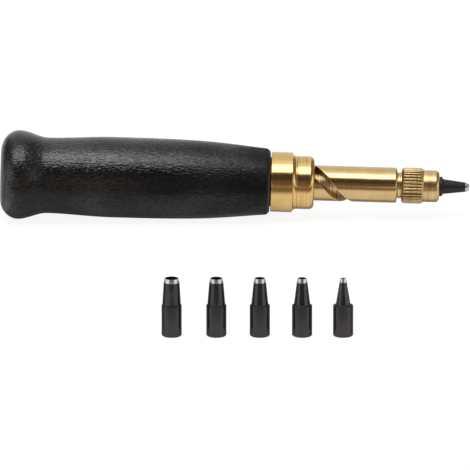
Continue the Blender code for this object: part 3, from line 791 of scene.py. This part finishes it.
def make_spiral_shaft():
    """Spindle with its helical groove, ring seat, ball seat and threaded neck."""
    seat_r = BALL_R + SEAT_GAP
    seat_x = TAIL_X + BALL_SUNK + SEAT_GAP
    floor_r = SHAFT_R - RING_SEAT_DEPTH
    plain = [(seat_x, seat_r), (TAIL_X, seat_r), (TAIL_X, SHAFT_R), (RING_X - RUN_GAP, SHAFT_R)]
    plain += [(RING_X - RUN_GAP, floor_r), (RING_X + RING_THICK + RUN_GAP, floor_r)]
    plain += [(RING_X + RING_THICK + RUN_GAP, SHAFT_R)]
    rings = [[(seat_x, 0.0, 0.0)]] + [shaft_ring(x, r) for x, r in plain]
    span = GROOVE_FRONT_X - GROOVE_REAR_X
    steps = math.ceil(span / GROOVE_STEP)
    for k in range(steps + 1):
        x = GROOVE_REAR_X + span * k / steps
        rings.append(shaft_ring(x, SHAFT_R, GROOVE_DEPTH * groove_share(x)))
    centre = (SHAFT_FRONT_X - SHAFT_CHAMFER, SHAFT_R - SHAFT_CHAMFER)
    shoulder = rounded(centre, (SHAFT_CHAMFER, SHAFT_CHAMFER), 90, 0, SHOULDER_STEPS)
    rings += [shaft_ring(x, r) for x, r in shoulder]
    root = NECK_R - THREAD_DEPTH
    rings.append(shaft_ring(SHAFT_FRONT_X, root))
    run = NECK_END_X - SHAFT_FRONT_X - SEAT_GAP
    steps = math.ceil(run / THREAD_STEP)
    for k in range(steps + 1):
        x = SHAFT_FRONT_X + run * k / steps
        start = min(1.0, k * THREAD_STEP / (THREAD_PITCH / 2))
        radius = root + THREAD_DEPTH * start
        rings.append(shaft_ring(x, radius, thread=THREAD_DEPTH * start))
    rings += [shaft_ring(NECK_END_X, root), shaft_ring(NECK_END_X, RELIEF_R)]
    deep = NECK_END_X - RELIEF_DEPTH
    rings += [shaft_ring(deep, RELIEF_R), [(deep, 0.0, 0.0)]]
    bm = skin(rings, False)
    sunk = SHAFT_R - GROOVE_DEPTH * GROOVE_SHADE
    span = (GROOVE_REAR_X, GROOVE_FRONT_X)
    # The groove's deeper faces: milled brass, darker as painted shade
    paint(bm, 1, lambda c: span[0] < c.x < span[1] and RELIEF_R < math.hypot(c.y, c.z) < sunk)
    # The threaded neck takes brass painted paler, as painted light
    paint(bm, 2, lambda c: c.x > SHAFT_FRONT_X)
    looks = [SHAFT_BRASS, GROOVE_MILLED_SHADE_BRASS, NECK_BRASS_PAINTED_PALE]
    piece("brass_spiral_shaft", bm, looks, TOOL, "spindle", "polished_brass", "spiral_shaft")


def knurl_dip(k):
    """Depth of the knurl at a point round the nut: flat ridges between narrow grooves."""
    phase = (k + KNURL_START) % KNURL_POINTS / KNURL_POINTS
    return KNURL_DEPTH * max(0.0, 1.0 - abs(phase - 0.5) / KNURL_VEE)


def make_chuck_nut():
    """Nut with a straight knurl, a smooth barrel and a cone inside its mouth."""
    points = KNURL_RIDGES * KNURL_POINTS
    knurl_x = NUT_X + KNURL_CHAMFER
    knurl_end = knurl_x + KNURL_LENGTH
    waist = knurl_end + KNURL_CHAMFER
    centre = (NUT_FACE_X - BARREL_ROUND, BARREL_R - BARREL_ROUND)
    nose = rounded(centre, (BARREL_ROUND, BARREL_ROUND), 90, 0, BARREL_STEPS)
    low = KNURL_R - KNURL_CHAMFER
    drop = KNURL_R - BARREL_R
    outer = [(NUT_X, NUT_BORE_R), (NUT_X, low - EDGE_EASE), (NUT_X + EDGE_EASE, low)]
    outer += [(NUT_X + KNURL_CHAMFER * t, low + KNURL_CHAMFER * t) for t in KNURL_RISE]
    outer += [(knurl_end + KNURL_CHAMFER * t, KNURL_R - drop * t) for t in KNURL_FALL]
    outer += [(waist, BARREL_R)] + nose
    inner = [(NUT_FACE_X, NUT_MOUTH_R + EDGE_EASE), (NUT_FACE_X - EDGE_EASE, NUT_MOUTH_R)]
    inner += [(NUT_CONE_END_X, NUT_MOUTH_R), (NUT_CONE_X, NUT_BORE_R)]
    rings = []
    for x, r in outer:
        knurled = NUT_X < x < waist
        ring = []
        for k in range(points):
            here = min(r, KNURL_R - knurl_dip(k)) if knurled else r
            ring.append(around(x, here, 2 * math.pi * k / points))
        rings.append(ring)
    for x, r in inner:
        rings.append([around(x, r, 2 * math.pi * k / points) for k in range(points)])
    bm = skin(rings, True)
    groove_r = KNURL_R - KNURL_SHADE * KNURL_DEPTH
    # The knurl's ridges and its front chamfer take the darker, rougher ridge brass
    paint(bm, 2, lambda c: knurl_x < c.x < waist and math.hypot(c.y, c.z) > BARREL_R)
    # The nut's rear face and chamfer and the knurl's grooves: darker brass, tarnish and painted shade
    paint(bm, 1, lambda c: c.x < knurl_x or c.x < knurl_end and math.hypot(c.y, c.z) < groove_r)
    looks = [NUT_BRASS, KNURL_TARNISH_AND_SHADE_BRASS, RIDGE_BRASS]
    piece("knurled_chuck_nut", bm, looks, TOOL, "nut", "brushed_brass", "chuck_nut")


def bit_mesh(cut_size, flare=BIT_LIP_FLARE):
    """Hollow bit along X from its base: round shank, shoulder, cone and ground lip."""
    cut_r = cut_size / 2
    root_r = BIT_ROOT_R + BIT_ROOT_SHARE * cut_size
    bore_r = cut_r - BIT_EDGE_WALL
    relief = max(BIT_RELIEF_R, bore_r)
    lip_x = BIT_LENGTH - BIT_LIP
    outline = [(0.0, relief), (0.0, BIT_SHANK_R - BIT_EDGE), (BIT_EDGE, BIT_SHANK_R)]
    outline += [(BIT_SHANK_LENGTH, BIT_SHANK_R), (BIT_SHANK_LENGTH + BIT_SHOULDER, root_r)]
    outline += [(lip_x, cut_r + flare)]
    outline = eased(outline, EDGE_EASE)
    outline += [(BIT_LENGTH, cut_r), (BIT_LENGTH, bore_r)]
    outline += [(BIT_SHANK_LENGTH, bore_r), (BIT_SHANK_LENGTH - BIT_LIP, relief)]
    bm = turned([(x, r * BIT_FLAT) for x, r in outline], BIT_SIDES, True)
    paint(bm, 1, lambda c: c.x > lip_x and math.hypot(c.y, c.z) > bore_r + BIT_EDGE_WALL / 4)
    paint(bm, 2, lambda c: BIT_SHANK_LENGTH < c.x < BIT_SHANK_LENGTH + BIT_SHOULDER)
    bmesh.ops.rotate(bm, verts=bm.verts, cent=(0, 0, 0), matrix=Matrix.Rotation(-math.pi / 2, 3, "Y"))
    return bm


def make_bits():
    """The bit in the chuck and the five that stand in a row."""
    seat = TOOL @ Matrix.Translation((BIT_SEAT_X, 0.0, 0.0)) @ Matrix.Rotation(math.pi / 2, 4, "Y")
    bm = bit_mesh(FITTED_CUT, FITTED_FLARE)
    bm.transform(seat)
    looks = [FITTED_OXIDE, FITTED_GROUND, FITTED_OXIDE]
    piece("bit_in_chuck", bm, looks, Matrix.Identity(4), "bit", "black_steel", "fitted_bit")
    for size in SPARE_CUTS:
        label = ("%.1f" % size).replace(".", "_")
        low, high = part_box("spare_bit_" + label)
        middle = (Vector(low) + Vector(high)) / 2
        place = Matrix.Translation((middle.x, middle.y, low[2]))
        name = "loose_bit_" + label
        body = "spare_" + label
        finish = PLUM_OXIDE if size == min(SPARE_CUTS) else OXIDE
        looks = [finish, GROUND, DULL_OXIDE]
        piece(name, bit_mesh(size * MM), looks, place, body, "black_steel", "spare_bit_" + label)


def make_spring():
    """Compression spring inside the handle; the real one shortens as the spindle is pushed in, and this
    one keeps one length.
    """
    count = COIL_TURNS * COIL_POINTS
    length = COIL_END_X - COIL_START_X
    lean = length / (COIL_TURNS * 2 * math.pi * COIL_R)
    rings = []
    for k in range(count + 1):
        turn = 2 * math.pi * k / COIL_POINTS
        x = COIL_START_X + length * k / count
        out = Vector(around(0.0, 1.0, turn))
        up = (Vector((1.0, 0.0, 0.0)) - lean * Vector(around(0.0, 1.0, turn + math.pi / 2))).normalized()
        centre = Vector(around(x, COIL_R, turn))
        ring = []
        for side in range(WIRE_SIDES):
            angle = 2 * math.pi * side / WIRE_SIDES
            ring.append(tuple(centre + WIRE_R * (math.cos(angle) * out + math.sin(angle) * up)))
        rings.append(ring)
    ends = []
    for ring in (rings[0], rings[-1]):
        middle = sum((Vector(spot) for spot in ring), Vector()) / WIRE_SIDES
        ends.append([tuple(middle)])
    bm = skin([ends[0]] + rings + [ends[1]], False)
    spring = piece("coil_return_spring", bm, [STEEL], TOOL, "handle_body", "bright_steel", "return_spring")
    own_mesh(spring)


def dress_hidden_nodes():
    """Give the steel look to the pieces inside the tool."""
    for name in HIDDEN_NODES:
        node = frame["nodes"][name]
        node.data.materials.clear()
        node.data.materials.append(STEEL)


# Stage

def make_camera():
    """Long lens at the photograph's viewing angle."""
    back = Vector((0.0, -math.cos(ELEVATION), math.sin(ELEVATION)))
    up = Vector((0.0, math.sin(ELEVATION), math.cos(ELEVATION)))
    aim = TOOL @ Vector((AIM_STATION, 0.0, 0.0)) - AIM_BELOW_AXIS * up
    data = bpy.data.cameras.new("camera")
    data.sensor_width = SENSOR
    half = PIXELS / 2 / PIXELS_PER_MM * MM
    data.lens = SENSOR / 2 * DISTANCE / half
    data.clip_end = CLIP_END
    camera = bpy.data.objects.new("camera", data)
    bpy.context.collection.objects.link(camera)
    camera.location = aim + back * DISTANCE
    camera.rotation_mode = "QUATERNION"
    camera.rotation_quaternion = (-back).to_track_quat("-Z", "Y")
    bpy.context.scene.camera = camera


def floor_colour(tree, place, mirrored):
    """White to the eye, and in mirrored light painted shadow and shade: the tones of the bands in front of
    the tool.
    """
    middle = TOOL.translation.y
    reach = FLOOR_REACH + FLOOR_BEHIND
    front = spread(tree, place["Y"], 1.0, 0.0, middle - FLOOR_REACH, middle + FLOOR_BEHIND)
    sideways = math_node(tree, "ABSOLUTE", place["X"])
    aside = spread(tree, sideways, 1.0, (FRONT_BANDS[-1][0] + FLOOR_BEHIND) / reach, *CAMERA_SIDES)
    nearest = math_node(tree, "MINIMUM", front, aside)
    mirrored_front = math_node(tree, "MULTIPLY", nearest, mirrored)
    tones = []
    # Painted shadow and shade in mirrored light: one set of bands beside the handle, one beside the metal
    # parts
    for bands in (HANDLE_BANDS, METAL_BANDS):
        bands = bands + FRONT_BANDS + CAMERA_BANDS
        stops = [((distance + FLOOR_BEHIND) / reach, tone) for distance, tone in bands]
        tones.append(ramp(tree, mirrored_front, stops))
    butt, front_end = [(TOOL @ Vector((x, 0.0, 0.0))).x for x in (0.0, HANDLE_LENGTH)]
    left = spread(tree, place["X"], 1.0, 0.0, butt - BUTT_FADE, butt)
    right = spread(tree, place["X"], 0.0, 1.0, front_end - FRONT_FADE, front_end)
    return blend(tree, math_node(tree, "MAXIMUM", left, right), *tones)


def mix_shaders(tree, share, first, second):
    """From the first shader to the second as the share runs from 0 to 1."""
    node = tree.nodes.new("ShaderNodeMixShader")
    for place, value in zip(node.inputs, (share, first.outputs[0], second.outputs[0])):
        tree.links.new(value, place)
    return node


def floor_look():
    """White table top, clear from below, that keeps a soft shadow."""
    look = bpy.data.materials.new("white_table")
    look.use_nodes = True
    tree = look.node_tree
    tree.nodes.clear()
    path = tree.nodes.new("ShaderNodeLightPath")
    spot = tree.nodes.new("ShaderNodeNewGeometry")
    split = tree.nodes.new("ShaderNodeSeparateXYZ")
    tree.links.new(spot.outputs["Position"], split.inputs[0])
    colour = floor_colour(tree, split.outputs, path.outputs["Is Glossy Ray"])
    white = tree.nodes.new("ShaderNodeBsdfDiffuse")
    tree.links.new(colour, white.inputs["Color"])
    glow = tree.nodes.new("ShaderNodeEmission")
    tree.links.new(colour, glow.inputs["Color"])
    glow.inputs["Strength"].default_value = FLOOR_GLOW_LEVEL
    seen = math_node(tree, "MULTIPLY", path.outputs["Is Camera Ray"], FLOOR_SEEN_GLOW)
    mirrored = math_node(tree, "MULTIPLY", path.outputs["Is Glossy Ray"], FLOOR_MIRRORED_GLOW)
    lit = mix_shaders(tree, math_node(tree, "MAXIMUM", seen, mirrored), white, glow)
    clear = tree.nodes.new("ShaderNodeBsdfTransparent")
    both = mix_shaders(tree, spot.outputs["Backfacing"], lit, clear)
    out = tree.nodes.new("ShaderNodeOutputMaterial")
    tree.links.new(both.outputs[0], out.inputs["Surface"])
    return look


def make_floor():
    """The table top under the part."""
    bm = bmesh.new()
    bmesh.ops.create_grid(bm, x_segments=1, y_segments=1, size=FLOOR_SIZE)
    mesh = bpy.data.meshes.new("floor")
    bm.to_mesh(mesh)
    bm.free()
    floor = bpy.data.objects.new("floor", mesh)
    bpy.context.collection.objects.link(floor)
    mesh.materials.append(floor_look())


def studio_colour(tree, direction):
    """Tones of the studio by direction, as shares of the softbox's."""
    top = max(SOFTBOX)
    forward = math_node(tree, "MULTIPLY", direction["Y"], -1.0)
    angle = math_node(tree, "ARCTAN2", forward, direction["Z"])
    place = math_node(tree, "ADD", math_node(tree, "DIVIDE", angle, 2 * math.pi), 0.5)
    stops = [((degrees + 180.0) / 360.0, [c / top for c in tone]) for degrees, tone in SKY_BANDS]
    sky = ramp(tree, place, stops)

    sideways = math_node(tree, "ABSOLUTE", direction["X"])
    low = spread(tree, direction["Z"], 1.0, SIDE_BOX_SHARE, *SIDE_BOX_HIGH)
    beside = spread(tree, direction["Y"], 1.0, SIDE_BOX_SHARE, *SIDE_BOX_REAR)
    boxed = math_node(tree, "MULTIPLY", sideways, math_node(tree, "MULTIPLY", low, beside))
    stops = [(edge, [c / top for c in tone]) for edge, tone in zip(SIDE_BOX_EDGE, (SIDE_GAP, SIDE_BOX))]
    boxes = ramp(tree, boxed, stops)

    left = math_node(tree, "MULTIPLY", direction["X"], -1.0)
    high = spread(tree, direction["Z"], 0.0, LEFT_REACH, *LEFT_REACH_HEIGHT)
    outer = math_node(tree, "MAXIMUM", math_node(tree, "SUBTRACT", left, high), direction["X"])
    return blend(tree, spread(tree, outer, 0.0, 1.0, *SOFTBOX_ENDS), sky, boxes)


def make_world():
    """White studio: softbox overhead, pale wall behind, dim room in front, boxes at the sides."""
    world = bpy.data.worlds.new("studio")
    bpy.context.scene.world = world
    world.use_nodes = True
    tree = world.node_tree
    tree.nodes.clear()
    coords = tree.nodes.new("ShaderNodeTexCoord")
    split = tree.nodes.new("ShaderNodeSeparateXYZ")
    tree.links.new(coords.outputs["Generated"], split.inputs[0])
    studio = tree.nodes.new("ShaderNodeBackground")
    studio.inputs["Strength"].default_value = max(SOFTBOX)
    tree.links.new(studio_colour(tree, split.outputs), studio.inputs["Color"])
    white = tree.nodes.new("ShaderNodeBackground")
    white.inputs["Color"].default_value = (1.0, 1.0, 1.0, 1.0)
    path = tree.nodes.new("ShaderNodeLightPath")
    mixed = mix_shaders(tree, path.outputs["Is Camera Ray"], studio, white)
    out = tree.nodes.new("ShaderNodeOutputWorld")
    tree.links.new(mixed.outputs[0], out.inputs["Surface"])
    bpy.context.scene.view_settings.view_transform = "Standard"


make_camera()
make_world()
make_floor()
make_handle()
make_ferrule()
make_guide_bush()
make_spiral_shaft()
make_chuck_nut()
make_bits()
make_spring()
dress_hidden_nodes()

bpy.context.view_layer.update()
